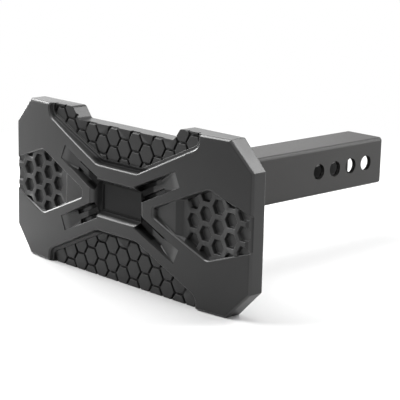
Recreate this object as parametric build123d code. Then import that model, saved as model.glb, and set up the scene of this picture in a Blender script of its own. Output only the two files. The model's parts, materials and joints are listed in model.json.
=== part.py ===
from build123d import *
from math import atan, cos, degrees, radians, sqrt, tan
import os

# Hitch receiver step: a moulded tread pad on a square shank that slides into a trailer hitch receiver.
# Millimetres. +Y runs along the shank towards the vehicle and +Z is up. The origin is the middle of
# the hitch pin hole nearest the vehicle end, on the shank's own axis. The pad is the far end, at -Y.

# Shank: two inch square tube with a row of hitch pin holes
TUBE_SIZE = 50.8
TUBE_WALL = 4.8
TUBE_CORNER = 4.0
TUBE_INNER_CORNER = 1.5
TUBE_LENGTH = 326.0
PIN_HOLE_RADIUS = 8.35
PIN_PITCH = 25.4
PIN_COUNT = 4
PIN_TO_END = 25.4

# Mounting plate behind the pad, with its weld and its bolts
PLATE_WIDTH = 212.0
PLATE_HEIGHT = 104.0
PLATE_THICK = 6.4
PLATE_CORNER = 10.0
WELD_LEG = 6.0
WELD_TOE = 0.8
WELD_INNER_CORNER = 3.0
BOLT_SPAN_X = 176.0
BOLT_SPAN_Z = 72.0
BOLT_RADIUS = 4.8
BOLT_HOLE_CLEARANCE = 0.5
BOLT_LENGTH = 20.0
HEAD_FLATS = 14.3
HEAD_HEIGHT = 8.4
FLANGE_RADIUS = 10.0
FLANGE_THICK = 2.0
INSERT_FLATS = 14.0
INSERT_LENGTH = 14.0
INSERT_GROOVE = 1.2
INSERT_GROOVE_WIDTH = 4.0
THREAD_CLEARANCE = 0.3
INSERT_CLEARANCE = 0.3

# Pad outline, seen from the front
PAD_WIDTH = 332.0
PAD_HEIGHT = 160.0
PAD_CHAMFER = 26.0
PAD_EDGE_THICK = 16.6
CROWN = 11.4
EDGE_ROUND = 3.0
BACK_EDGE_CHAMFER = 1.0
NOTCH_FLOOR_WIDTH = 134.0
NOTCH_DEPTH = 11.5
NOTCH_SLOPE = 9.0
NOTCH_CORNER = 5.0

# Raised diagonal frame: every long edge on it runs at this angle
ARM_ANGLE = 24.4

# Upper and lower tread panels: pocket, plain ledge, floor and raised six-sided studs
TREAD_MID_HALF = 28.5
TREAD_MID_Z = 31.5
TREAD_END_INSET = 59.0
TREAD_BEND = 12.0
TREAD_DRAFT = 12.0
TREAD_LEDGE_Y = -3.2
TREAD_LEDGE = 3.0
TREAD_FLOOR_Y = 1.2
RIM_CHAMFER = 1.0
STUD_PITCH = 18.0
STUD_FLATS = 15.6
STUD_TOP_Y = -1.1
STUD_DRAFT = 14.0
UPPER_STUD_Z = 49.8
LOWER_STUD_Z = -54.5

# Side panels: pocket, inner ledge, and a web with six-sided cells sunk in it
SIDE_PEAK_X = 117.0
SIDE_PEAK_Z = 35.0
SIDE_OUTER_Z = 20.0
SIDE_INNER_X = 50.0
SIDE_BEND = 14.0
SIDE_INNER_BEND = 5.0
SIDE_DRAFT = 20.0
SIDE_LEDGE_Y = -6.0
SIDE_LEDGE_END = 77.8
SIDE_WEB_START = 84.0
SIDE_WEB_Y = -2.0
SIDE_END_CHAMFER = 5.0
SIDE_DEEP_WIDTH = 36.0
CELL_FIRST_X = 96.4
CELL_PITCH = 18.0
CELL_FLATS = 13.6
CELL_DEPTH = 3.6
CELL_DRAFT = 16.0

# Middle recess, with a plain plate place, and the four slots that run out from its corners
PLACE_HALF_X = 28.0
PLACE_HALF_Z = 14.2
PLACE_Y = -2.4
PLACE_LIP_WIDTH = 1.6
PLACE_LIP_HEIGHT = 0.8
RECESS_HALF_X = 39.0
RECESS_HALF_Z = 18.5
RECESS_BREAK_HALF_X = 33.0
RECESS_BREAK_HALF_Z = 16.2
RECESS_BREAK_Y = -8.0
SLOT_END_X = 80.5
SLOT_END_Z = 35.4
SLOT_WIDTH = 13.5
SLOT_DRAFT = 12.0
SLOT_LENGTH = 54.5
SLOT_END_STEP = 0.8
SLOT_FLOOR_Y = -1.5
SLOT_RAMP_LENGTH = 23.0
BAR_WIDTH = 5.5
BAR_TOP_Y = -5.0

# Coring of the back
BACK_WALL = 5.0
BACK_RIB = 3.5
BACK_DEPTH = 9.5
BACK_COLUMNS = 9
BACK_ROWS = 4
BOSS_RADIUS = 12.0

# Places along the shank, worked out from the sizes above
TUBE_END_Y = PIN_TO_END
TUBE_START_Y = TUBE_END_Y - TUBE_LENGTH
PAD_BACK_Y = TUBE_START_Y - PLATE_THICK
FACE_Y = PAD_BACK_Y - PAD_EDGE_THICK
CROWN_RADIUS = ((PAD_WIDTH / 2) ** 2 + CROWN ** 2) / (2 * CROWN)
COLUMN_STEP = STUD_PITCH * cos(radians(30))
TREAD_END_X = PAD_WIDTH / 2 - TREAD_END_INSET
SIDE_DEEP_X = PAD_WIDTH / 2 - SIDE_DEEP_WIDTH
BEYOND = 20.0


def face_plane(depth):
    """A plane facing the viewer, this far behind the plane of the pad's outer edge."""
    return Plane.XZ.offset(-(FACE_Y + depth))


def crown_depth(x):
    """How far in front of the outer edge's plane the crowned face stands at this x."""
    return sqrt(CROWN_RADIUS ** 2 - x ** 2) - CROWN_RADIUS + CROWN


def prism(outline, depth, front, taper=0.0):
    """The outline as a solid from one depth forward to another, widening by the taper."""
    return extrude(face_plane(depth) * outline, amount=depth - front, taper=-taper)


def rounded(points, radii):
    """A closed outline through the points, with a radius for each corner, zero for a sharp one."""
    face = make_face(Polyline(*points, close=True))
    for point, radius in zip(points, radii):
        if radius:
            corner = face.vertices().sort_by_distance((point[0], point[1], 0))[0]
            face = fillet(corner, radius)
    return face


def mirrored_x(points):
    """The points again on the other side of the pad, in reverse order."""
    return [(-x, z) for x, z in reversed(points)]


def pad_outline():
    """Eight-sided outline with the notch in its top edge."""
    half_x = PAD_WIDTH / 2
    half_z = PAD_HEIGHT / 2
    notch_z = half_z - NOTCH_DEPTH
    floor_x = NOTCH_FLOOR_WIDTH / 2
    right = [
        (half_x - PAD_CHAMFER, -half_z),
        (half_x, -half_z + PAD_CHAMFER),
        (half_x, half_z - PAD_CHAMFER),
        (half_x - PAD_CHAMFER, half_z),
        (floor_x + NOTCH_SLOPE, half_z),
        (floor_x, notch_z),
    ]
    radii = [0, 0, 0, 0, NOTCH_CORNER, NOTCH_CORNER]
    return rounded(right + mirrored_x(right), radii + radii[::-1])


def crowned_block():
    """The pad before anything is cut in it: crowned front with a rounded rim, and a flat back."""
    block = prism(pad_outline(), PAD_EDGE_THICK, -CROWN - BEYOND)
    crown = Pos(0, FACE_Y - CROWN + CROWN_RADIUS, 0) * Cylinder(CROWN_RADIUS, PAD_HEIGHT + BEYOND)
    block = block & crown
    front = block.faces().filter_by(GeomType.CYLINDER).sort_by(SortBy.AREA)[-1]
    block = fillet(front.edges(), EDGE_ROUND)
    back = block.faces().filter_by(Axis.Y).sort_by(Axis.Y)[-1]
    return chamfer(back.edges(), BACK_EDGE_CHAMFER)


def arm_rise(run):
    """Rise of a long edge of the diagonal frame over this run."""
    return run * tan(radians(ARM_ANGLE))


def tread_outline(side, inset):
    """Outline of a tread panel; side is 1 for the upper panel and -1 for the lower one."""
    shift = inset / cos(radians(ARM_ANGLE))
    low_z = TREAD_MID_Z + inset
    end_x = TREAD_END_X - inset
    bend_x = TREAD_MID_HALF + (inset - shift) / tan(radians(ARM_ANGLE))
    end_z = TREAD_MID_Z + shift + arm_rise(end_x - TREAD_MID_HALF)
    top_z = PAD_HEIGHT / 2 + BEYOND
    right = [(bend_x, low_z), (end_x, end_z), (end_x, top_z)]
    points = right + mirrored_x(right)
    bend = TREAD_BEND - inset
    radii = [bend, bend, 0, 0, bend, bend]
    face = rounded(points, radii)
    return face if side > 0 else mirror(face, about=Plane.XZ)


def hexagon(flats):
    """A six-sided outline with flat top and bottom edges, this wide across its flats."""
    return RegularPolygon(flats / 2, 6, major_radius=False)


def hexagon_solid(x, z, flats, depth, height, draft):
    """A six-sided prism, drawn in by the draft towards the viewer."""
    return prism(Pos(x, z) * hexagon(flats), depth, depth - height, -draft)


def stud_places(first_z):
    """Centres of the studs of one tread panel."""
    columns = int(TREAD_END_X / COLUMN_STEP) + 1
    rows = int(PAD_HEIGHT / STUD_PITCH) + 1
    places = []
    for column in range(-columns, columns + 1):
        start = first_z + (STUD_PITCH / 2 if column % 2 else 0)
        for row in range(-rows, rows + 1):
            places.append((column * COLUMN_STEP, start + row * STUD_PITCH))
    return places


def tread_pocket(side, first_z):
    """What is taken from the pad for one tread panel, with its studs left standing."""
    draft_run = (CROWN + TREAD_LEDGE_Y) * tan(radians(TREAD_DRAFT))
    pocket = prism(tread_outline(side, draft_run), TREAD_LEDGE_Y, -CROWN - BEYOND, TREAD_DRAFT)
    field_outline = tread_outline(side, draft_run + TREAD_LEDGE)
    field = prism(field_outline, TREAD_FLOOR_Y, TREAD_LEDGE_Y)
    height = TREAD_FLOOR_Y - STUD_TOP_Y
    foot = STUD_FLATS + 2 * height * tan(radians(STUD_DRAFT))
    studs = []
    for x, z in stud_places(first_z):
        near = field_outline.distance_to(Vertex(x, z, 0))
        if near < foot / 2:
            studs.append(hexagon_solid(x, z, foot, TREAD_FLOOR_Y, height, STUD_DRAFT))
    return pocket + (field - studs)


def side_outline(inset):
    """Outline of the side panel on the right, open past the outer edge of the pad."""
    shift = inset / cos(radians(ARM_ANGLE))
    inner_x = SIDE_INNER_X + inset
    inner_z = SIDE_PEAK_Z - shift - arm_rise(SIDE_PEAK_X - inner_x)
    outer_run = PAD_WIDTH / 2 - SIDE_PEAK_X
    outer_fall = (SIDE_PEAK_Z - SIDE_OUTER_Z) / outer_run
    outer_shift = inset * sqrt(1 + outer_fall ** 2)
    outer_x = PAD_WIDTH / 2 + BEYOND
    outer_z = SIDE_OUTER_Z - outer_shift - BEYOND * outer_fall
    peak_x = SIDE_PEAK_X + (shift - outer_shift) / (tan(radians(ARM_ANGLE)) + outer_fall)
    peak_z = SIDE_PEAK_Z - shift + arm_rise(peak_x - SIDE_PEAK_X)
    upper = [(inner_x, inner_z), (peak_x, peak_z), (outer_x, outer_z)]
    points = upper + [(x, -z) for x, z in reversed(upper)]
    bend = SIDE_BEND - inset
    inner_bend = max(SIDE_INNER_BEND - inset, 0)
    radii = [inner_bend, bend, 0, 0, bend, inner_bend]
    return rounded(points, radii)


def drop(depth, draft):
    """How far a wall with this draft leans over this depth."""
    return depth * tan(radians(draft))


def side_prism(depth):
    """The side panel's room above this depth, with its walls at the draft angle."""
    inset = drop(CROWN + depth, SIDE_DRAFT)
    return prism(side_outline(inset), depth, -CROWN - BEYOND, SIDE_DRAFT)


def across_panel(section):
    """A section in x and y as a solid over the pad's whole height."""
    outline = [(x, FACE_Y + depth) for x, depth in section]
    return extrude(make_face(Polyline(*outline, close=True)), amount=PAD_HEIGHT / 2, both=True)


def side_pocket():
    """What is taken from the pad for the right side panel: deep where its web is put back."""
    start_x = SIDE_INNER_X - BEYOND
    ledge = [
        (start_x, SIDE_LEDGE_Y),
        (SIDE_LEDGE_END, SIDE_LEDGE_Y),
        (SIDE_WEB_START, SIDE_WEB_Y),
        (SIDE_WEB_START, BEYOND),
        (start_x, BEYOND),
    ]
    end_x = PAD_WIDTH / 2 + BEYOND
    front = -CROWN - BEYOND
    outer = [(SIDE_DEEP_X, front), (end_x, front), (end_x, BEYOND), (SIDE_DEEP_X, BEYOND)]
    deep = side_prism(SIDE_WEB_Y + SIDE_END_CHAMFER) & across_panel(outer)
    return side_prism(SIDE_WEB_Y) - across_panel(ledge) + deep


def side_web():
    """The web put back in the deep part, proud of the falling crown, with its outer end bevelled."""
    end_x = PAD_WIDTH / 2
    bevel_end = SIDE_WEB_Y + SIDE_END_CHAMFER
    web = [
        (SIDE_DEEP_X, SIDE_WEB_Y),
        (end_x - SIDE_END_CHAMFER, SIDE_WEB_Y),
        (end_x, bevel_end),
        (SIDE_DEEP_X, bevel_end),
    ]
    inset = drop(CROWN + SIDE_WEB_Y, SIDE_DRAFT)
    return across_panel(web) & prism(side_outline(inset), BEYOND, -BEYOND)


def side_cells():
    """The six-sided cells sunk in the web of the side panel on the right."""
    web_inset = drop(CROWN + SIDE_WEB_Y, SIDE_DRAFT)
    bottom_y = SIDE_WEB_Y + CELL_DEPTH
    floor_flats = CELL_FLATS - 2 * drop(CELL_DEPTH, CELL_DRAFT)
    inside = prism(side_outline(web_inset), bottom_y, SIDE_LEDGE_Y)
    cells = []
    columns = int((PAD_WIDTH / 2 - CELL_FIRST_X) / COLUMN_STEP) + 1
    rows = int(SIDE_PEAK_Z / CELL_PITCH) + 1
    for column in range(columns + 1):
        x = CELL_FIRST_X + column * COLUMN_STEP
        start = CELL_PITCH / 2 if column % 2 else 0
        for row in range(-rows, rows + 1):
            z = start + row * CELL_PITCH
            cells.append(hexagon_solid(x, z, floor_flats, bottom_y, CELL_DEPTH, -CELL_DRAFT))
    return inside & Compound(cells)


def centre_recess():
    """What is taken for the recess in the middle, down to the bare plate place inside its lip."""
    sizes = [
        (RECESS_HALF_X, RECESS_HALF_Z, -CROWN),
        (RECESS_BREAK_HALF_X, RECESS_BREAK_HALF_Z, RECESS_BREAK_Y),
        (PLACE_HALF_X, PLACE_HALF_Z, PLACE_Y - PLACE_LIP_HEIGHT),
    ]
    outlines = [face_plane(depth) * Rectangle(2 * half_x, 2 * half_z) for half_x, half_z, depth in sizes]
    cut = loft(outlines[:2], ruled=True) + loft(outlines[1:], ruled=True)
    above = prism(Rectangle(2 * RECESS_HALF_X, 2 * RECESS_HALF_Z), -CROWN, -CROWN - BEYOND)
    inner = Rectangle(2 * (PLACE_HALF_X - PLACE_LIP_WIDTH), 2 * (PLACE_HALF_Z - PLACE_LIP_WIDTH))
    place = prism(inner, PLACE_Y, PLACE_Y - PLACE_LIP_HEIGHT)
    return cut + above + place


def slot_box(start, end, across, width, depth, draft):
    """A drafted pocket in one slot's own frame: along the slot from its outer end, and across it."""
    outline = Pos((start + end) / 2, across) * Rectangle(end - start, width)
    place = Location(face_plane(depth)) * Location((SLOT_END_X, SLOT_END_Z, 0), (0, 0, 180 + ARM_ANGLE))
    return extrude(place * outline, amount=depth + CROWN + BEYOND, taper=-draft)


def slot():
    """What is taken for the slot at the upper right: a ramp, then a groove on each side of a bar."""
    surface_y = -crown_depth(SLOT_END_X) + SLOT_END_STEP
    ramp_side = slot_box(0, SLOT_LENGTH, 0, SLOT_WIDTH, BAR_TOP_Y, SLOT_DRAFT)
    ramp = [
        (-BEYOND, surface_y),
        (0, surface_y),
        (SLOT_RAMP_LENGTH, BAR_TOP_Y),
        (SLOT_RAMP_LENGTH, BEYOND),
        (-BEYOND, BEYOND),
    ]
    place = Pos(SLOT_END_X, FACE_Y, SLOT_END_Z) * Rot(0, 180 - ARM_ANGLE, 0)
    standing = place * extrude(make_face(Polyline(*ramp, close=True)), amount=SLOT_WIDTH, both=True)
    groove_width = (SLOT_WIDTH - BAR_WIDTH) / 2
    across = (BAR_WIDTH + groove_width) / 2
    cut = ramp_side - standing
    for side in (-1, 1):
        start = SLOT_RAMP_LENGTH
        groove = slot_box(start, SLOT_LENGTH, side * across, groove_width, SLOT_FLOOR_Y, 0)
        cut = cut + (groove - prism(Rectangle(PAD_WIDTH, PAD_HEIGHT), BAR_TOP_Y, -CROWN - 2 * BEYOND))
    return cut


def bolt_places():
    """Where the four bolts stand on the plate: across and up."""
    half_x = BOLT_SPAN_X / 2
    half_z = BOLT_SPAN_Z / 2
    return [(x, z) for x in (-half_x, half_x) for z in (-half_z, half_z)]


def back_cores():
    """The open cores in the back of the pad, which leave a rim, ribs and the bosses standing."""
    inside = offset(pad_outline(), -BACK_WALL)
    width = PAD_WIDTH - 2 * BACK_WALL
    height = PAD_HEIGHT - 2 * BACK_WALL
    column_step = (width + BACK_RIB) / BACK_COLUMNS
    row_step = (height + BACK_RIB) / BACK_ROWS
    ribs = []
    for column in range(1, BACK_COLUMNS):
        x = column * column_step - (width + BACK_RIB) / 2
        ribs.append(Pos(x, 0) * Rectangle(BACK_RIB, PAD_HEIGHT))
    for row in range(1, BACK_ROWS):
        z = row * row_step - (height + BACK_RIB) / 2
        ribs.append(Pos(0, z) * Rectangle(PAD_WIDTH, BACK_RIB))
    bosses = [Pos(x, z) * Circle(BOSS_RADIUS) for x, z in bolt_places()]
    return prism(inside - ribs - bosses, PAD_EDGE_THICK, PAD_EDGE_THICK - BACK_DEPTH)


def on_both_sides(shape):
    """The shape and its mirror image on the other side of the pad."""
    return [shape, mirror(shape, about=Plane.YZ)]


def rim_edges(pad, region):
    """The edges where pockets break through the crowned face inside this region of it."""
    crown = pad.faces().filter_by(GeomType.CYLINDER).sort_by(SortBy.AREA)[-1]
    inside = offset(pad_outline(), -2 * EDGE_ROUND) & region
    chosen = []
    for edge in crown.edges():
        middle = edge.position_at(0.5)
        if inside.distance_to(Vertex(middle.X, middle.Z, 0)) == 0:
            chosen.append(edge)
    return chosen


def with_side_panels(pad):
    """The pad with both side panels: each is cut on the right, and the pad is mirrored after it."""
    for _ in ("right", "left"):
        pad = pad - side_pocket()
        region = Pos(PAD_WIDTH / 2, 0) * Rectangle(PAD_WIDTH, PAD_HEIGHT)
        pad = chamfer(rim_edges(pad, region), RIM_CHAMFER)
        pad = mirror(pad + side_web() - side_cells(), about=Plane.YZ)
    return pad


def with_tread_panels(pad):
    """The pad with the upper and the lower tread panel sunk in it and their rims bevelled."""
    pad = pad - tread_pocket(1, UPPER_STUD_Z) - tread_pocket(-1, LOWER_STUD_Z)
    region = tread_outline(1, -RIM_CHAMFER) + tread_outline(-1, -RIM_CHAMFER)
    return chamfer(rim_edges(pad, region), RIM_CHAMFER)


def with_recess(pad):
    """The pad with the middle recess and its four slots."""
    upper = on_both_sides(slot())
    lower = [mirror(cut, about=Plane.XY) for cut in upper]
    return pad - centre_recess() - upper - lower


def step_pad():
    """The moulded tread pad, one piece."""
    pad = with_recess(with_tread_panels(with_side_panels(crowned_block())))
    pad = pad - back_cores()
    hole_outline = hexagon(INSERT_FLATS + 2 * INSERT_CLEARANCE)
    hole = along_shank(hole_outline, PAD_BACK_Y - INSERT_LENGTH, 2 * INSERT_LENGTH)
    return pad - [Pos(x, 0, z) * hole for x, z in bolt_places()]


def along_shank(outline, start_y, length):
    """An outline in x and z as a solid, from this y towards the vehicle."""
    return extrude(Plane.XZ.offset(-start_y) * outline, amount=-length)


def mounting_plate():
    """Steel plate on the back of the pad, with its four bolt holes."""
    outline = RectangleRounded(PLATE_WIDTH, PLATE_HEIGHT, PLATE_CORNER)
    hole = Circle(BOLT_RADIUS + BOLT_HOLE_CLEARANCE)
    holes = [Pos(x, z) * hole for x, z in bolt_places()]
    return along_shank(outline - holes, PAD_BACK_Y, PLATE_THICK)


def receiver_tube():
    """Square shank with the row of cross holes for the hitch pin."""
    outer = RectangleRounded(TUBE_SIZE, TUBE_SIZE, TUBE_CORNER)
    inner_size = TUBE_SIZE - 2 * TUBE_WALL
    inner = RectangleRounded(inner_size, inner_size, TUBE_INNER_CORNER)
    tube = along_shank(outer - inner, TUBE_START_Y, TUBE_LENGTH)
    pin = Rot(0, 90, 0) * Cylinder(PIN_HOLE_RADIUS, 2 * TUBE_SIZE)
    return tube - [Pos(0, -index * PIN_PITCH, 0) * pin for index in range(PIN_COUNT)]


def tube_weld():
    """Fillet weld around the foot of the shank, flat against the plate and the shank's sides."""
    foot_size = TUBE_SIZE + 2 * WELD_LEG
    foot = RectangleRounded(foot_size, foot_size, TUBE_CORNER + WELD_LEG)
    lean = degrees(atan((WELD_LEG - WELD_TOE) / WELD_LEG))
    start = Plane.XZ.offset(-TUBE_START_Y)
    bead = extrude(start * foot, amount=-WELD_LEG, taper=lean)
    opening = RectangleRounded(TUBE_SIZE, TUBE_SIZE, WELD_INNER_CORNER)
    return bead - along_shank(opening, TUBE_START_Y - WELD_LEG, 3 * WELD_LEG)


def threaded_inserts():
    """Four six-sided inserts with a round waist, set in the back of the pad and level with it."""
    start_y = PAD_BACK_Y - INSERT_LENGTH
    bore = Circle(BOLT_RADIUS + THREAD_CLEARANCE)
    insert = along_shank(hexagon(INSERT_FLATS) - bore, start_y, INSERT_LENGTH)
    around = Circle(INSERT_FLATS) - Circle(INSERT_FLATS / 2 - INSERT_GROOVE)
    groove_y = start_y + (INSERT_LENGTH - INSERT_GROOVE_WIDTH) / 2
    insert -= along_shank(around, groove_y, INSERT_GROOVE_WIDTH)
    return Compound([Pos(x, 0, z) * insert for x, z in bolt_places()])


def plate_bolts():
    """Four flanged hex bolts, head on the vehicle's side of the plate."""
    head = along_shank(hexagon(HEAD_FLATS), 0, HEAD_HEIGHT)
    flange = along_shank(Circle(FLANGE_RADIUS), 0, FLANGE_THICK)
    stem = along_shank(Circle(BOLT_RADIUS), -BOLT_LENGTH, BOLT_LENGTH)
    bolt = head + flange + stem
    return Compound([Pos(x, TUBE_START_Y, z) * bolt for x, z in bolt_places()])


os.makedirs("parts", exist_ok=True)
export_step(step_pad(), "parts/step_pad.step")
export_step(threaded_inserts(), "parts/threaded_inserts.step")
export_step(mounting_plate(), "parts/mounting_plate.step")
export_step(receiver_tube(), "parts/receiver_tube.step")
export_step(tube_weld(), "parts/tube_weld.step")
export_step(plate_bolts(), "parts/plate_bolts.step")
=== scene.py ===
"""Dressed scene of a hitch receiver step: a moulded tread pad bolted to a welded square shank.

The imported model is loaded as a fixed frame, in metres, with +Y along the shank towards the vehicle
and +Z up. Each sub-assembly is a class that builds the visible pieces around that frame and dresses
them, and each finish is a frozen dataclass that paints one procedural material.
"""
import json
import logging
import math
from dataclasses import dataclass, field
from enum import Enum

import bpy
import numpy as np
from mathutils import Matrix, Vector
from mathutils.bvhtree import BVHTree

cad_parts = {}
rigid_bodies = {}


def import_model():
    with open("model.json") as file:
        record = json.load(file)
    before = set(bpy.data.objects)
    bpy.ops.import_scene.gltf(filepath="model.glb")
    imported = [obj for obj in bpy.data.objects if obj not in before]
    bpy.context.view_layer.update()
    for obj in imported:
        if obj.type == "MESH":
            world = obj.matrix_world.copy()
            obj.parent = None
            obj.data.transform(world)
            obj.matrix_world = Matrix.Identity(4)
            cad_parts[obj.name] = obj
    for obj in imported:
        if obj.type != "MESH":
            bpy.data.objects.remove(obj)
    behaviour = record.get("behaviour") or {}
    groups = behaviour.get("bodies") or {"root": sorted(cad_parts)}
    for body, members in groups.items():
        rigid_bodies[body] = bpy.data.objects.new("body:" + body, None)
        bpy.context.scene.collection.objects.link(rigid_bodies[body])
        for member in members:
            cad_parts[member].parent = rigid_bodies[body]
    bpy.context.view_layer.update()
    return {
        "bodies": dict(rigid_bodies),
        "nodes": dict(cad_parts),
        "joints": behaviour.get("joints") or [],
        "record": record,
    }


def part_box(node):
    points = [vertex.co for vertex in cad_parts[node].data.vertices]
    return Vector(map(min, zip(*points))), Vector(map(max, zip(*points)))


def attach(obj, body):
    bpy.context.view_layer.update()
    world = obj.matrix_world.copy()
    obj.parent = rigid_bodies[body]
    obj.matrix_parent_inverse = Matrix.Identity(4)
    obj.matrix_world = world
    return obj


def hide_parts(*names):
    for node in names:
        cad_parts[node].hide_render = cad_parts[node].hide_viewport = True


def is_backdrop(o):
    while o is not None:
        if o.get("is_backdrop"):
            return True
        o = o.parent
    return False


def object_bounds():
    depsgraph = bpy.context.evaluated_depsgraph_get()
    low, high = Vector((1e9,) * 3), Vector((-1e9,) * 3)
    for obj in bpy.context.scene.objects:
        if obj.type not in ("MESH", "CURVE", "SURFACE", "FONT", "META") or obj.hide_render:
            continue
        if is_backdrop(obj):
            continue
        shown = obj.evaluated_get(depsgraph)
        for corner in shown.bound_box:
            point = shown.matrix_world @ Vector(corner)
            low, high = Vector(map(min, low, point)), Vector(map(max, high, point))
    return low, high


LOG = logging.getLogger("hitch_step")
MM = 0.001


class Slot(Enum):
    """The finishes that the record names."""

    MOULDED_PLASTIC = "moulded_plastic"
    POWDER_COAT = "powder_coat"
    ZINC_STEEL = "zinc_steel"
    INSERT_BRASS = "insert_brass"


class Wire:
    """One output of a shader node, with arithmetic that adds Math nodes."""

    EDGE_FADE = 1.06

    def __init__(self, board: "NodeBoard", socket: bpy.types.NodeSocket) -> None:
        """Keep the socket and the board that it lies on."""
        self.board = board
        self.socket = socket

    def _maths(self, operation: str, first: object, second: object) -> "Wire":
        """Join two wires or numbers by one Math node."""
        return self.board.node("ShaderNodeMath", {"operation": operation}, {0: first, 1: second})

    def __add__(self, other: object) -> "Wire":
        """Add a wire or a number."""
        return self._maths("ADD", self, other)

    def __radd__(self, other: object) -> "Wire":
        """Be added to a number."""
        return self._maths("ADD", other, self)

    def __sub__(self, other: object) -> "Wire":
        """Take a wire or a number away."""
        return self._maths("SUBTRACT", self, other)

    def __rsub__(self, other: object) -> "Wire":
        """Be taken away from a number."""
        return self._maths("SUBTRACT", other, self)

    def __mul__(self, other: object) -> "Wire":
        """Multiply by a wire or a number."""
        return self._maths("MULTIPLY", self, other)

    def __rmul__(self, other: object) -> "Wire":
        """Be multiplied with a number."""
        return self._maths("MULTIPLY", other, self)

    def ramp(self, low: float, high: float) -> "Wire":
        """Stretch the span from low to high over 0 to 1, and hold it there outside that span."""
        inputs = {"Value": self, "From Min": low, "From Max": high}
        return self.board.node("ShaderNodeMapRange", {"clamp": True}, inputs)

    def within(self, half: float) -> "Wire":
        """One where the value is within plus or minus half, falling to nought just outside."""
        return 1.0 - (self * self).ramp(half**2, (half * self.EDGE_FADE) ** 2)

    def beside(self, output: str) -> "Wire":
        """Another output of the same node."""
        return Wire(self.board, self.socket.node.outputs[output])


@dataclass(frozen=True)
class Grain:
    """One layer of soft noise.

    Attributes:
        scale: spots to the metre.
        detail: how many finer layers are added.
        roughness: how strong the finer layers are.
    """

    scale: float
    detail: float = 2.0
    roughness: float = 0.5


class NodeBoard:
    """The node tree of one material or of the world, with short ways to add nodes."""

    def __init__(self, owner: bpy.types.ID, shader: str = "Principled BSDF") -> None:
        """Start on the owner's own node tree.

        Args:
            owner: the material or the world.
            shader: the name of the shader node that it starts with.
        """
        self.owner = owner
        owner.use_nodes = True
        self.tree = owner.node_tree
        self.shader = self.tree.nodes[shader]

    def node(self, kind: str, settings: dict, inputs: dict, output: object = 0) -> Wire:
        """Add any node.

        Args:
            kind: the node's type.
            settings: attributes of the node, set first.
            inputs: values or wires by the socket's name or place.
            output: the name or place of the output that is wanted.

        Returns:
            That output as a wire.
        """
        made = self.tree.nodes.new(kind)
        for key, value in settings.items():
            setattr(made, key, value)
        for key, value in inputs.items():
            self.feed(made.inputs[key], value)
        return Wire(self, made.outputs[output])

    def feed(self, socket: bpy.types.NodeSocket, value: object) -> None:
        """Link a wire to a socket, or set the socket to a plain value.

        Args:
            socket: the input socket.
            value: the wire, number or colour.
        """
        if isinstance(value, Wire):
            self.tree.links.new(value.socket, socket)
        else:
            socket.default_value = value

    def set(self, name: str, value: object) -> None:
        """Set or link one input of the shader."""
        self.feed(self.shader.inputs[name], value)

    def point(self) -> Wire:
        """The point on the piece, in the piece's own frame."""
        return self.node("ShaderNodeTexCoord", {}, {}, "Object")

    def coordinates(self) -> tuple:
        """The point's three coordinates: across the step, along the shank, and up."""
        across = self.node("ShaderNodeSeparateXYZ", {}, {0: self.point()}, "X")
        return across, across.beside("Y"), across.beside("Z")

    def noise(self, grain: Grain, stretch: tuple = (1.0, 1.0, 1.0)) -> Wire:
        """Soft noise from 0 to 1.

        Args:
            grain: the noise's scale and layers.
            stretch: how much the scale is raised along each axis.

        Returns:
            The noise.
        """
        where = self.node("ShaderNodeMapping", {}, {"Vector": self.point(), "Scale": stretch})
        inputs = {
            "Vector": where,
            "Scale": grain.scale,
            "Detail": grain.detail,
            "Roughness": grain.roughness,
        }
        return self.node("ShaderNodeTexNoise", {}, inputs)

    def seen(self) -> Wire:
        """One where the camera, a gloss or a clear piece looks at the surface, nought elsewhere.

        Returns:
            The mask.
        """
        camera = self.node("ShaderNodeLightPath", {}, {}, "Is Camera Ray")
        gloss = camera.beside("Is Glossy Ray")
        clear = camera.beside("Is Transmission Ray")
        return (camera + gloss + clear).ramp(0.0, 1.0)

    def colour_mix(self, factor: object, first: object, second: object) -> Wire:
        """Lay one colour over another.

        Args:
            factor: how much of the second shows.
            first: the colour underneath, a wire or four numbers.
            second: the colour on top.

        Returns:
            The mixed colour.
        """
        inputs = {0: factor, 6: first, 7: second}
        return self.node("ShaderNodeMix", {"data_type": "RGBA"}, inputs, 2)

    def bump(self, height: Wire, distance: float, strength: float) -> None:
        """Feed a height to the shader's normal through a Bump node.

        Args:
            height: the height, 0 to 1.
            distance: the real height in metres of a height of 1.
            strength: how much of it is used.
        """
        inputs = {"Height": height, "Distance": distance, "Strength": strength}
        self.set("Normal", self.node("ShaderNodeBump", {}, inputs))


def grey(value: float, warmth: float = 0.0) -> tuple:
    """A grey as four numbers, a little redder than blue when warmth is above zero."""
    return (value * (1.0 + warmth), value, value * (1.0 - warmth), 1.0)


@dataclass(frozen=True)
class Finish:
    """One finish, which paints one material."""

    name: str = "finish"

    def paint(self, board: NodeBoard) -> None:
        """Add the finish to a plain material, as each kind of finish does in its own way."""
        raise NotImplementedError

    def make(self) -> bpy.types.Material:
        """Build the material.

        Returns:
            The material.
        """
        board = NodeBoard(bpy.data.materials.new(self.name))
        self.paint(board)
        return board.owner


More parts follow.
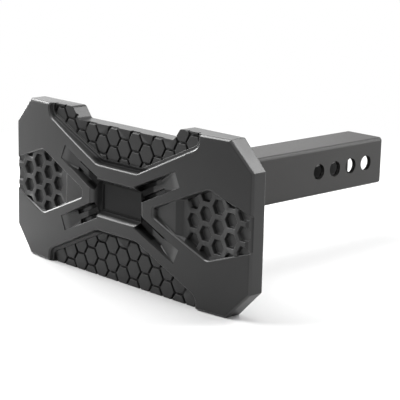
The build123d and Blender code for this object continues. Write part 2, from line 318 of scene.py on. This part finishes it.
@dataclass(frozen=True)
class MouldedPlastic(Finish):
    """Near black moulded plastic with a fine spark-eroded grain and faint flow marks.

    The pockets of the pad's crowned face are darkened as painted shade, the centre recess is
    darkened further as painted shade and has the least coat, and the pockets' rims are rubbed
    smooth. All three are found by how deep a point lies under the crown.
    """

    name: str = "moulded_plastic"
    tone: float = 0.0225
    flow_tone: float = 0.0265
    flow: Grain = Grain(14.0, 4.0, 0.6)
    flow_span: tuple = (0.3, 0.7)
    roughness: float = 0.42
    roughness_swing: float = 0.08
    specular: float = 0.10
    sheen: float = 0.50
    sheen_roughness: float = 0.30
    blotch: Grain = Grain(126.0, 3.0)
    fine: Grain = Grain(2600.0, 1.0)
    coarse: Grain = Grain(900.0, 2.0)
    coarse_share: float = 0.4
    grain_depth: float = 0.06 * MM
    grain_strength: float = 0.5
    front_y: float = -335.0 * MM
    crown: float = 11.4 * MM
    pad_half: float = 166.0 * MM
    pocket_half: float = 150.0 * MM
    pocket_depths: tuple = (3.0 * MM, 9.0 * MM)
    # painted shade: the share of the tone left in the pockets
    pocket_shade_share: float = 0.68
    pocket_roughness: float = 0.10
    recess_halves: tuple = (45.0 * MM, 36.0 * MM)
    recess_depths: tuple = (2.0 * MM, 5.0 * MM)
    # painted shade: the share of the tone left in the centre recess
    recess_shade_share: float = 0.12
    place_halves: tuple = (26.4 * MM, 12.6 * MM)
    # the plate place is spared this share of the recess's painted shade and of its lost coat
    place_sheen_and_less_shade: float = 0.30
    rim_starts: tuple = (0.2 * MM, 0.5 * MM)
    rim_ends: tuple = (1.5 * MM, 2.5 * MM)
    rim_sheen: float = 0.50

    def depth(self, across: Wire, along: Wire) -> Wire:
        """How deep a point lies under the crowned face, in metres.

        Args:
            across: the point's place across the pad.
            along: its place along the shank.

        Returns:
            The depth, taken along the shank.
        """
        curve = self.crown / (self.pad_half**2 + self.crown**2)
        return along - (self.front_y + across * across * curve)

    def masks(self, board: NodeBoard) -> tuple:
        """Find the pockets and the centre recess, where the colour is darkened as painted shade, and
        the rims.

        Args:
            board: the material's board.

        Returns:
            Three masks from 0 on the face to 1, in that order.
        """
        across, along, up = board.coordinates()
        depth = self.depth(across, along)
        pockets = depth.ramp(*self.pocket_depths) * across.within(self.pocket_half)
        recess = depth.ramp(*self.recess_depths)
        # the plate place inside the recess gets less painted shade and keeps more coat
        place = self.place_sheen_and_less_shade
        for off, recess_half, place_half in zip((across, up), self.recess_halves, self.place_halves):
            recess = recess * off.within(recess_half)
            place = place * off.within(place_half)
        rims = depth.ramp(*self.rim_starts) * (1.0 - depth.ramp(*self.rim_ends))
        return pockets, recess * (1.0 - place), rims

    def paint(self, board: NodeBoard) -> None:
        """Paint the plastic.

        Args:
            board: the material's board.
        """
        pockets, recess, rims = self.masks(board)
        flow = board.noise(self.flow).ramp(*self.flow_span)
        worn = board.colour_mix(flow, grey(self.tone), grey(self.flow_tone))
        # painted shade: the colour is darkened in the pockets, more the deeper they lie under the
        # crown
        face = board.colour_mix(pockets, worn, grey(self.tone * self.pocket_shade_share))
        # painted shade: the centre recess is darkened further, less so on the plate place
        board.set("Base Color", board.colour_mix(recess, face, grey(self.tone * self.recess_shade_share)))
        blotch, coarse, fine = (board.noise(grain) for grain in (self.blotch, self.coarse, self.fine))
        fine_share = 1.0 - self.coarse_share
        swing = blotch * fine_share + coarse * self.coarse_share - 0.5
        rough = self.roughness + swing * self.roughness_swing
        board.set("Roughness", rough + pockets * self.pocket_roughness)
        board.set("Specular IOR Level", self.specular)
        board.set("Coat Weight", self.sheen - recess * self.sheen + rims * self.rim_sheen)
        board.set("Coat Roughness", self.sheen_roughness)
        height = fine * fine_share + coarse * self.coarse_share
        board.bump(height, self.grain_depth, self.grain_strength)


@dataclass(frozen=True)
class PowderCoat(Finish):
    """Satin grey-black powder coat with a slight orange peel, dull inside the tube, with painted shade
    there.
    """

    name: str = "powder_coat"
    tone: float = 0.0265
    warmth: float = 0.03
    roughness: float = 0.47
    roughness_swing: float = 0.08
    specular: float = 0.30
    cloud: Grain = Grain(22.0, 3.0)
    cloud_swing: float = 0.1
    fleck: Grain = Grain(3200.0, 1.0)
    fleck_span: tuple = (0.62, 0.72)
    fleck_share: float = 0.35
    fleck_gain: float = 2.2
    peel: Grain = Grain(520.0, 2.0)
    peel_depth: float = 0.08 * MM
    peel_strength: float = 0.35
    bore_half: float = 21.0 * MM
    # painted shade: the colour inside the tube
    bore_shade_tone: float = 0.006
    bore_roughness: float = 0.75

    def bore(self, board: NodeBoard) -> Wire:
        """One on the tube's inner walls, nought outside."""
        across, _, up = board.coordinates()
        return across.within(self.bore_half) * up.within(self.bore_half)

    def paint(self, board: NodeBoard) -> None:
        """Paint the coat.

        Args:
            board: the material's board.
        """
        fleck = board.noise(self.fleck).ramp(*self.fleck_span)
        dark, light, bright = (
            grey(self.tone * gain, self.warmth)
            for gain in (1.0 - self.cloud_swing, 1.0 + self.cloud_swing, self.fleck_gain)
        )
        base = board.colour_mix(board.noise(self.cloud), dark, light)
        coat = board.colour_mix(fleck * self.fleck_share, base, bright)
        bore = self.bore(board)
        # painted shade: the tube's inner walls are painted near black
        board.set("Base Color", board.colour_mix(bore, coat, grey(self.bore_shade_tone)))
        peel = board.noise(self.peel)
        rough = self.roughness + (peel - 0.5) * self.roughness_swing
        board.set("Roughness", rough + bore * (self.bore_roughness - self.roughness))
        board.set("Specular IOR Level", self.specular)
        board.bump(peel, self.peel_depth, self.peel_strength)


@dataclass(frozen=True)
class ZincPlate(Finish):
    """Bright zinc on rolled steel fasteners, slightly clouded."""

    name: str = "zinc_plate"
    tone: tuple = (0.46, 0.47, 0.48, 1.0)
    dull_tone: tuple = (0.34, 0.35, 0.36, 1.0)
    cloud: Grain = Grain(240.0, 4.0, 0.6)
    cloud_span: tuple = (0.35, 0.7)
    roughness: float = 0.34
    roughness_swing: float = 0.14
    rolled: Grain = Grain(2400.0, 2.0)
    rolled_depth: float = 0.03 * MM
    rolled_strength: float = 0.3

    def paint(self, board: NodeBoard) -> None:
        """Paint the zinc.

        Args:
            board: the material's board.
        """
        cloud = board.noise(self.cloud)
        dull = cloud.ramp(*self.cloud_span)
        board.set("Base Color", board.colour_mix(dull, self.tone, self.dull_tone))
        board.set("Metallic", 1.0)
        board.set("Roughness", self.roughness + cloud * self.roughness_swing)
        board.bump(board.noise(self.rolled), self.rolled_depth, self.rolled_strength)


@dataclass(frozen=True)
class TurnedBrass(Finish):
    """Brass with the fine rings that a lathe leaves."""

    name: str = "turned_brass"
    tone: tuple = (0.60, 0.42, 0.17, 1.0)
    dull_tone: tuple = (0.42, 0.28, 0.11, 1.0)
    cloud: Grain = Grain(180.0, 3.0)
    rings: Grain = Grain(1.0)
    ring_stretch: tuple = (60.0, 4200.0, 60.0)
    ring_depth: float = 0.02 * MM
    ring_strength: float = 0.4
    roughness: float = 0.24
    roughness_swing: float = 0.16

    def paint(self, board: NodeBoard) -> None:
        """Paint the brass.

        Args:
            board: the material's board.
        """
        rings = board.noise(self.rings, self.ring_stretch)
        cloud = board.noise(self.cloud)
        board.set("Base Color", board.colour_mix(cloud, self.tone, self.dull_tone))
        board.set("Metallic", 1.0)
        board.set("Roughness", self.roughness + rings * self.roughness_swing)
        board.bump(rings, self.ring_depth, self.ring_strength)


@dataclass(frozen=True)
class PaintedWeld(Finish):
    """Powder coat over a weld: the bead's own ripples are geometry, with spatter grain on top."""

    name: str = "painted_weld"
    tone: float = 0.0265
    light_gain: float = 1.3
    warmth: float = 0.03
    roughness: float = 0.42
    roughness_swing: float = 0.1
    spatter: Grain = Grain(700.0, 3.0, 0.6)
    spatter_depth: float = 0.12 * MM
    spatter_strength: float = 0.5

    def paint(self, board: NodeBoard) -> None:
        """Paint the weld.

        Args:
            board: the material's board.
        """
        spatter = board.noise(self.spatter)
        light = grey(self.tone * self.light_gain, self.warmth)
        board.set("Base Color", board.colour_mix(spatter, grey(self.tone, self.warmth), light))
        board.set("Roughness", self.roughness + spatter * self.roughness_swing)
        board.bump(spatter, self.spatter_depth, self.spatter_strength)


@dataclass(frozen=True)
class StudioFloor(Finish):
    """White floor that keeps the object's shadow near it and turns pure white further off."""

    name: str = "studio_floor"
    tone: float = 0.88
    bounce_tone: float = 0.40
    roughness: float = 0.9
    specular: float = 0.1
    centre: tuple = (0.0, -0.17, 0.0)
    shadow_reach: tuple = (0.30, 0.75)

    def paint(self, board: NodeBoard) -> None:
        """Paint the floor.

        Args:
            board: the material's board.
        """
        seen = board.seen()
        board.set("Base Color", board.colour_mix(seen, grey(self.bounce_tone), grey(self.tone)))
        board.set("Roughness", self.roughness)
        board.set("Specular IOR Level", self.specular)
        ends = {0: board.point(), 1: self.centre}
        away = board.node("ShaderNodeVectorMath", {"operation": "DISTANCE"}, ends, "Value")
        white = board.node("ShaderNodeEmission", {}, {"Color": grey(1.0), "Strength": 1.0})
        painted = Wire(board, board.shader.outputs["BSDF"])
        shaders = {0: seen * away.ramp(*self.shadow_reach), 1: painted, 2: white}
        mixed = board.node("ShaderNodeMixShader", {}, shaders)
        board.feed(board.tree.nodes["Material Output"].inputs["Surface"], mixed)


class Bench:
    """Short ways to work on one object at a time with Blender's operators."""

    MERGE_GAP = 0.001 * MM
    THIN_FACE = 0.02 * MM
    FLAT_TURN = math.radians(0.3)
    SMOOTH_TURN = math.radians(46.0)
    FULL_WEIGHT = 100

    @staticmethod
    def clear() -> None:
        """Deselect everything."""
        bpy.ops.object.select_all(action="DESELECT")

    @staticmethod
    def pick(piece: bpy.types.Object) -> None:
        """Select one object and make it active.

        Args:
            piece: the object.
        """
        Bench.clear()
        piece.select_set(True)
        bpy.context.view_layer.objects.active = piece

    @staticmethod
    def settle(piece: bpy.types.Object) -> None:
        """Put the object's place, turn and size into its mesh."""
        Bench.pick(piece)
        bpy.ops.object.transform_apply(location=True, rotation=True, scale=True)

    @staticmethod
    def modify(piece: bpy.types.Object, kind: str, **settings: object) -> None:
        """Add a modifier and apply it.

        Args:
            piece: the object.
            kind: the modifier's type.
            **settings: the modifier's attributes.
        """
        Bench.pick(piece)
        modifier = piece.modifiers.new(kind.lower(), kind)
        for key, value in settings.items():
            setattr(modifier, key, value)
        bpy.ops.object.modifier_apply(modifier=modifier.name)

    @staticmethod
    def clean_copy(node: bpy.types.Object, name: str) -> bpy.types.Object:
        """Copy a CAD node as a joined mesh, with its flat faces whole as far as they are simple.

        Args:
            node: the CAD node's object.
            name: the copy's name.

        Returns:
            The copy, at the origin.
        """
        piece = node.copy()
        piece.data = node.data.copy()
        piece.name = name
        for key in list(piece.keys()):
            del piece[key]
        bpy.context.scene.collection.objects.link(piece)
        piece.parent = None
        Bench.pick(piece)
        bpy.ops.object.mode_set(mode="EDIT")
        bpy.ops.mesh.select_all(action="SELECT")
        bpy.ops.mesh.remove_doubles(threshold=Bench.MERGE_GAP)
        bpy.ops.mesh.dissolve_degenerate(threshold=Bench.THIN_FACE)
        bpy.ops.mesh.dissolve_limited(angle_limit=Bench.FLAT_TURN)
        bpy.ops.mesh.select_mode(type="FACE")
        bpy.ops.mesh.select_all(action="DESELECT")
        bpy.ops.mesh.select_face_by_sides(number=4, type="GREATER")
        bpy.ops.mesh.quads_convert_to_tris(ngon_method="BEAUTY")
        bpy.ops.object.mode_set(mode="OBJECT")
        return piece

    @staticmethod
    def sharp_edges(piece: bpy.types.Object, angle: float) -> list:
        """Find the edges that turn by more than an angle.

        Args:
            piece: the object.
            angle: the angle in degrees.

        Returns:
            The edges' numbers.
        """
        Bench.pick(piece)
        bpy.ops.object.mode_set(mode="EDIT")
        bpy.ops.mesh.select_mode(type="EDGE")
        bpy.ops.mesh.select_all(action="DESELECT")
        bpy.ops.mesh.edges_select_sharp(sharpness=math.radians(angle))
        bpy.ops.object.mode_set(mode="OBJECT")
        return [edge.index for edge in piece.data.edges if edge.select]

    @staticmethod
    def smooth(piece: bpy.types.Object) -> None:
        """Smooth the shading over gentle turns, with the large faces kept flat.

        Args:
            piece: the object.
        """
        Bench.pick(piece)
        bpy.ops.object.shade_smooth_by_angle(angle=Bench.SMOOTH_TURN)
        weight = Bench.FULL_WEIGHT
        Bench.modify(piece, "WEIGHTED_NORMAL", mode="FACE_AREA", weight=weight, keep_sharp=True)

    @staticmethod
    def dress(piece: bpy.types.Object, material: bpy.types.Material, slot: str) -> None:
        """Give the piece one material and the body it rides on.

        Args:
            piece: the object.
            material: the material.
            slot: the finish's name in the record; not used.
        """
        piece.data.materials.clear()
        piece.data.materials.append(material)
        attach(piece, "root")


@dataclass
class EdgeRounder:
    """Rounds a piece's sharp edges, and spares those where two rounds would run into each other.

    Attributes:
        width: the round's width in metres.
        sharp_angle: the least turn in degrees that counts as sharp.
        segments: the faces across a round.
        tries: how often the rounds are cut at most.
        stand_off: how far a face may stand off the unrounded shape, in widths of the round.
        agreement: the least dot product of a face's normal with the unrounded shape's.
        least_face: the size in square metres under which a face may point anywhere.
        spared_reach: how much further off than the nearest edge, or than the round's width, an
            edge may be and still be spared with it, as a factor.
    """

    width: float
    sharp_angle: float
    segments: int = 2
    tries: int = 7
    stand_off: float = 0.6
    agreement: float = 0.1
    least_face: float = 0.002 * MM * MM
    spared_reach: float = 1.2

    def cut(self, piece: bpy.types.Object, edges: list, kept: np.ndarray) -> None:
        """Cut the rounds in a piece that isn't rounded yet.

        Args:
            piece: the object.
            edges: the numbers of its sharp edges.
            kept: one for each edge that gets a round, nought for each that stays sharp.
        """
        weights = piece.data.attributes.new("bevel_weight_edge", "FLOAT", "EDGE")
        for edge, weight in zip(edges, kept):
            weights.data[edge].value = weight
            piece.data.edges[edge].use_edge_sharp = not weight
        Bench.modify(
            piece,
            "BEVEL",
            width=self.width,
            segments=self.segments,
            limit_method="WEIGHT",
            use_clamp_overlap=False,
            miter_outer="MITER_SHARP",
        )

    def folds(self, piece: bpy.types.Object, shape: BVHTree) -> list:
        """Find where a round has folded over or left the shape.

        Args:
            piece: the rounded object.
            shape: its surface before it was rounded.

        Returns:
            The middles of the faces at fault.
        """
        found = []
        for face in piece.data.polygons:
            _, normal, _, gap = shape.find_nearest(face.center)
            turned = face.area > self.least_face and face.normal.dot(normal) < self.agreement
            if gap > self.width * self.stand_off or turned:
                found.append(np.array(face.center))
        return found

    def spare(self, starts: np.ndarray, runs: np.ndarray, fault: np.ndarray, kept: np.ndarray) -> None:
        """Mark the edges next to a fault to stay sharp.

        Args:
            starts: where each sharp edge starts.
            runs: how each runs from there to its end.
            fault: the middle of the face at fault.
            kept: the marks of the edges, changed in place.
        """
        lengths = np.maximum((runs * runs).sum(1), np.finfo(float).tiny)
        share = np.clip(((fault - starts) * runs).sum(1) / lengths, 0.0, 1.0)
        off = np.linalg.norm(starts + runs * share[:, None] - fault, axis=1)
        kept[off < max(off.min(), self.width) * self.spared_reach] = 0.0

    def round(self, piece: bpy.types.Object) -> None:
        """Round the piece, and smooth the shading over the rounds.

        Args:
            piece: the object.
        """
        whole = piece.data
        points = [point.co for point in whole.vertices]
        shape = BVHTree.FromPolygons(points, [face.vertices for face in whole.polygons])
        edges = Bench.sharp_edges(piece, self.sharp_angle)
        pairs = [whole.edges[edge].vertices for edge in edges]
        ends = np.array([[whole.vertices[end].co for end in pair] for pair in pairs])
        kept = np.ones(len(edges))
        fewest = None
        for _ in range(self.tries):
            piece.data = whole.copy()
            self.cut(piece, edges, kept)
            faults = self.folds(piece, shape)
            LOG.info("%s: %d edges rounded, %d folds", piece.name, int(kept.sum()), len(faults))
            if not faults or len(faults) == fewest:
                break
            fewest = len(faults)
            for fault in faults:
                self.spare(ends[:, 0], ends[:, 1] - ends[:, 0], fault, kept)
        Bench.smooth(piece)


@dataclass
class TreadPad:
    """The moulded step pad, with its edges softened as a mould leaves them."""

    node: str = "step_pad"
    edge_round: float = 0.45 * MM
    sharp_angle: float = 24.0
    finish: MouldedPlastic = field(default_factory=MouldedPlastic)

    def build(self, nodes: dict) -> bpy.types.Object:
        """Make the visible pad from the CAD pad's own surfaces.

        Args:
            nodes: the frame's CAD nodes by name.

        Returns:
            The visible pad.
        """
        piece = Bench.clean_copy(nodes[self.node], "tread_pad")
        EdgeRounder(self.edge_round, self.sharp_angle).round(piece)
        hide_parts(self.node)
        return piece

    def dress(self, piece: bpy.types.Object) -> None:
        """Give the pad its plastic."""
        Bench.dress(piece, self.finish.make(), Slot.MOULDED_PLASTIC.value)


@dataclass
class Shank:
    """The square tube and the plate that it is welded to."""

    tube_node: str = "receiver_tube"
    plate_node: str = "mounting_plate"
    plate_round: float = 0.6 * MM
    sharp_angle: float = 30.0
    finish: PowderCoat = field(default_factory=PowderCoat)

    def build(self, nodes: dict) -> list:
        """Make the visible tube and plate.

        Args:
            nodes: the frame's CAD nodes by name.

        Returns:
            The two pieces.
        """
        tube = Bench.clean_copy(nodes[self.tube_node], "shank_tube")
        Bench.smooth(tube)
        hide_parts(self.tube_node)
        plate = Bench.clean_copy(nodes[self.plate_node], "shank_plate")
        EdgeRounder(self.plate_round, self.sharp_angle).round(plate)
        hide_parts(self.plate_node)
        return [tube, plate]

    def dress(self, pieces: list) -> None:
        """Give both pieces one powder coat.

        Args:
            pieces: the tube and the plate.
        """
        material = self.finish.make()
        for piece in pieces:
            Bench.dress(piece, material, Slot.POWDER_COAT.value)


@dataclass
class WeldBead:
    """The fillet weld around the shank's foot, with the ripples of its passes."""

    node: str = "tube_weld"
    ripple_pitch: float = 3.1 * MM
    ripple_size: float = 3.6 * MM
    ripple_form: tuple = (0.55, 1.0, 0.95)
    ripple_steps: tuple = (16, 10)
    lean: float = math.radians(45.0)
    middle_share: float = 0.30
    grain: float = 0.55 * MM
    melt_factor: float = 0.5
    melt_passes: int = 2
    core_depth: float = 60.0 * MM
    core_corner: float = 3.0 * MM
    core_corner_steps: int = 6
    finish: PaintedWeld = field(default_factory=PaintedWeld)

    def ripple(self) -> bpy.types.Object:
        """Make one ripple at the origin.

        Returns:
            The ripple.
        """
        around, high = self.ripple_steps
        Bench.clear()
        bpy.ops.mesh.primitive_uv_sphere_add(segments=around, ring_count=high, radius=self.ripple_size)
        ripple = bpy.context.object
        ripple.scale = self.ripple_form
        Bench.settle(ripple)
        return ripple

    def lay(self, ripple: bpy.types.Object, foot: float, middle: float) -> list:
        """Lay copies of the ripple along the four sides of the foot.

        Args:
            ripple: the ripple.
            foot: the ripples' place along the shank.
            middle: their distance from the shank's axis.

        Returns:
            The copies.
        """
        copies = []
        count = int(2 * middle / self.ripple_pitch)
        lean = Matrix.Rotation(self.lean, 4, "X")
        for side in range(4):
            turn = Matrix.Rotation(side * math.pi / 2, 4, "Y")
            for index in range(count + 1):
                along = -middle + 2 * middle * index / count
                copy = ripple.copy()
                copy.data = ripple.data.copy()
                bpy.context.scene.collection.objects.link(copy)
                copy.matrix_world = turn @ Matrix.Translation((along, foot, middle)) @ lean
                copies.append(copy)
        return copies

    def build(self) -> bpy.types.Object:
        """Lay overlapping ripples round the foot and melt them into one bead.

        Returns:
            The bead.
        """
        low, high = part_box(self.node)
        tube_low, tube_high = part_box("receiver_tube")
        half_tube = (tube_high.x - tube_low.x) / 2
        inset = (high.x - half_tube) * self.middle_share
        ripple = self.ripple()
        copies = self.lay(ripple, low.y + inset, half_tube + inset)
        Bench.clear()
        bpy.data.objects.remove(ripple)
        for copy in copies:
            copy.select_set(True)
        bpy.context.view_layer.objects.active = copies[0]
        bpy.ops.object.join()
        bead = bpy.context.object
        bead.name = "weld_bead"
        Bench.settle(bead)
        Bench.modify(bead, "REMESH", mode="VOXEL", voxel_size=self.grain)
        Bench.modify(bead, "SMOOTH", factor=self.melt_factor, iterations=self.melt_passes)
        self.trim(bead, low.y, half_tube)
        bpy.ops.object.shade_smooth()
        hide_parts(self.node)
        return bead

    def trim(self, bead: bpy.types.Object, plate_y: float, half_tube: float) -> None:
        """Cut the bead off at the plate, and out of the shank's four sides.

        Args:
            bead: the bead.
            plate_y: the plate's face.
            half_tube: half the shank's size.
        """
        Bench.pick(bead)
        bpy.ops.object.mode_set(mode="EDIT")
        bpy.ops.mesh.select_all(action="SELECT")
        bpy.ops.mesh.bisect(
            plane_co=(0.0, plate_y, 0.0), plane_no=(0.0, -1.0, 0.0), use_fill=True, clear_outer=True
        )
        bpy.ops.object.mode_set(mode="OBJECT")
        bpy.ops.mesh.primitive_cube_add(size=1.0, location=(0.0, plate_y, 0.0))
        core = bpy.context.object
        core.scale = (2 * half_tube, self.core_depth, 2 * half_tube)
        Bench.settle(core)
        Bench.modify(core, "BEVEL", width=self.core_corner, segments=self.core_corner_steps)
        Bench.modify(bead, "BOOLEAN", operation="DIFFERENCE", object=core, solver="EXACT")
        bpy.data.objects.remove(core)
        Bench.pick(bead)

    def dress(self, piece: bpy.types.Object) -> None:
        """Give the bead its coat."""
        Bench.dress(piece, self.finish.make(), Slot.POWDER_COAT.value)


@dataclass
class Fasteners:
    """Bolts and inserts, with their edges softened, in their metals."""

    steel_node: str = "plate_bolts"
    brass_node: str = "threaded_inserts"
    edge_round: float = 0.25 * MM
    sharp_angle: float = 30.0
    steel: ZincPlate = field(default_factory=ZincPlate)
    brass: TurnedBrass = field(default_factory=TurnedBrass)

    def build(self, nodes: dict) -> dict:
        """Make softened copies of the fasteners.

        Args:
            nodes: the frame's CAD nodes by name.

        Returns:
            The visible pieces by node.
        """
        pieces = {}
        for node in (self.steel_node, self.brass_node):
            piece = Bench.clean_copy(nodes[node], node + "_dressed")
            EdgeRounder(self.edge_round, self.sharp_angle).round(piece)
            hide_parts(node)
            pieces[node] = piece
        return pieces

    def dress(self, pieces: dict) -> None:
        """Give steel to the bolts and brass to the inserts."""
        Bench.dress(pieces[self.steel_node], self.steel.make(), Slot.ZINC_STEEL.value)
        Bench.dress(pieces[self.brass_node], self.brass.make(), Slot.INSERT_BRASS.value)


@dataclass(frozen=True)
class SoftBox:
    """One square soft box that faces the object.

    The turn goes from +X towards +Y, and the height is above the floor's plane, both in degrees
    around the point that the box faces. The power is in watts.
    """

    name: str
    turn: float
    height: float
    power: float
    distance: float = 2.2
    side: float = 1.0

    def hang(self, aim: Vector) -> None:
        """Hang the box.

        Args:
            aim: the point that it faces.
        """
        turn = math.radians(self.turn)
        height = math.radians(self.height)
        flat = math.cos(height)
        back = Vector((math.cos(turn) * flat, math.sin(turn) * flat, math.sin(height)))
        data = bpy.data.lights.new(self.name, "AREA")
        data.shape = "SQUARE"
        data.size = self.side
        data.energy = self.power
        lamp = bpy.data.objects.new(self.name, data)
        bpy.context.scene.collection.objects.link(lamp)
        place = Matrix.Translation(aim + back * self.distance)
        lamp.matrix_world = place @ back.to_track_quat("Z", "Y").to_matrix().to_4x4()


@dataclass
class Studio:
    """White floor, soft boxes, white surroundings and the camera at the photograph's angle.

    The camera's turn goes from +Y towards -X, and its dip is below the horizon, both in degrees.
    """

    camera_place: tuple = (0.9701, -1.1680, 0.3018)
    camera_turn: float = 45.79
    camera_dip: float = 13.11
    camera_roll: float = 1.38
    focal_length: float = 126.38
    sensor: float = 36.0
    far_clip: float = 50.0
    aim: tuple = (0.0, -0.22, 0.0)
    floor_gap: float = 0.1 * MM
    floor_size: float = 8.0
    floor_finish: StudioFloor = field(default_factory=StudioFloor)
    world_strength: float = 0.03
    boxes: tuple = (
        SoftBox("left_box", 180.0, 45.0, 24.0),
        SoftBox("low_left_box", 180.0, 12.0, 36.0),
        SoftBox("back_right_box", 60.0, 45.0, 34.0),
        SoftBox("low_right_box", 60.0, 12.0, 21.0),
        SoftBox("front_left_box", -135.0, 45.0, 34.0),
        SoftBox("low_back_box", 140.0, 12.0, 3.0),
        SoftBox("top_box", 0.0, 89.9, 10.0, 1.8, 1.8),
    )

    def camera(self) -> None:
        """Set the camera up where the photograph was taken from."""
        turn = math.radians(self.camera_turn)
        dip = math.radians(self.camera_dip)
        flat = math.cos(dip)
        forward = Vector((-math.sin(turn) * flat, math.cos(turn) * flat, -math.sin(dip)))
        right = Vector((math.cos(turn), math.sin(turn), 0.0))
        frame = Matrix((right, right.cross(forward), -forward)).transposed().to_4x4()
        roll = Matrix.Rotation(math.radians(self.camera_roll), 4, "Z")
        data = bpy.data.cameras.new("photo_camera")
        data.lens = self.focal_length
        data.sensor_width = self.sensor
        data.sensor_fit = "HORIZONTAL"
        data.clip_end = self.far_clip
        camera = bpy.data.objects.new("photo_camera", data)
        bpy.context.scene.collection.objects.link(camera)
        camera.matrix_world = Matrix.Translation(self.camera_place) @ frame @ roll
        bpy.context.scene.camera = camera

    def lamps(self) -> None:
        """Hang the soft boxes."""
        for box in self.boxes:
            box.hang(Vector(self.aim))

    def world(self) -> None:
        """Put faint even light around the object, and pure white where the camera looks."""
        world = bpy.data.worlds.new("studio")
        bpy.context.scene.world = world
        board = NodeBoard(world, "Background")
        board.set("Color", grey(1.0))
        board.set("Strength", self.world_strength + board.seen() * (1.0 - self.world_strength))

    def floor(self) -> None:
        """Lay the floor just under the pad."""
        low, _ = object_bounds()
        place = (0.0, 0.0, low[2] - self.floor_gap)
        Bench.clear()
        bpy.ops.mesh.primitive_plane_add(size=self.floor_size, location=place)
        plane = bpy.context.object
        plane.name = "studio_floor"
        Bench.settle(plane)
        plane.data.materials.append(self.floor_finish.make())
        plane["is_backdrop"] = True

    def build(self) -> None:
        """Set up the whole studio."""
        bpy.context.scene.view_settings.view_transform = "Standard"
        self.camera()
        self.floor()
        self.lamps()
        self.world()


def main() -> None:
    """Build and dress every piece in order."""
    logging.basicConfig(level=logging.INFO, format="%(name)s: %(message)s")
    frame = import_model()
    nodes = frame["nodes"]

    studio = Studio()
    studio.build()
    LOG.info("studio ready")

    pad = TreadPad()
    pad.dress(pad.build(nodes))
    LOG.info("tread pad dressed")

    shank = Shank()
    shank.dress(shank.build(nodes))
    LOG.info("shank dressed")

    bead = WeldBead()
    bead.dress(bead.build())
    LOG.info("weld bead dressed")

    fasteners = Fasteners()
    fasteners.dress(fasteners.build(nodes))
    LOG.info("fasteners dressed")


if __name__ == "__main__":
    main()
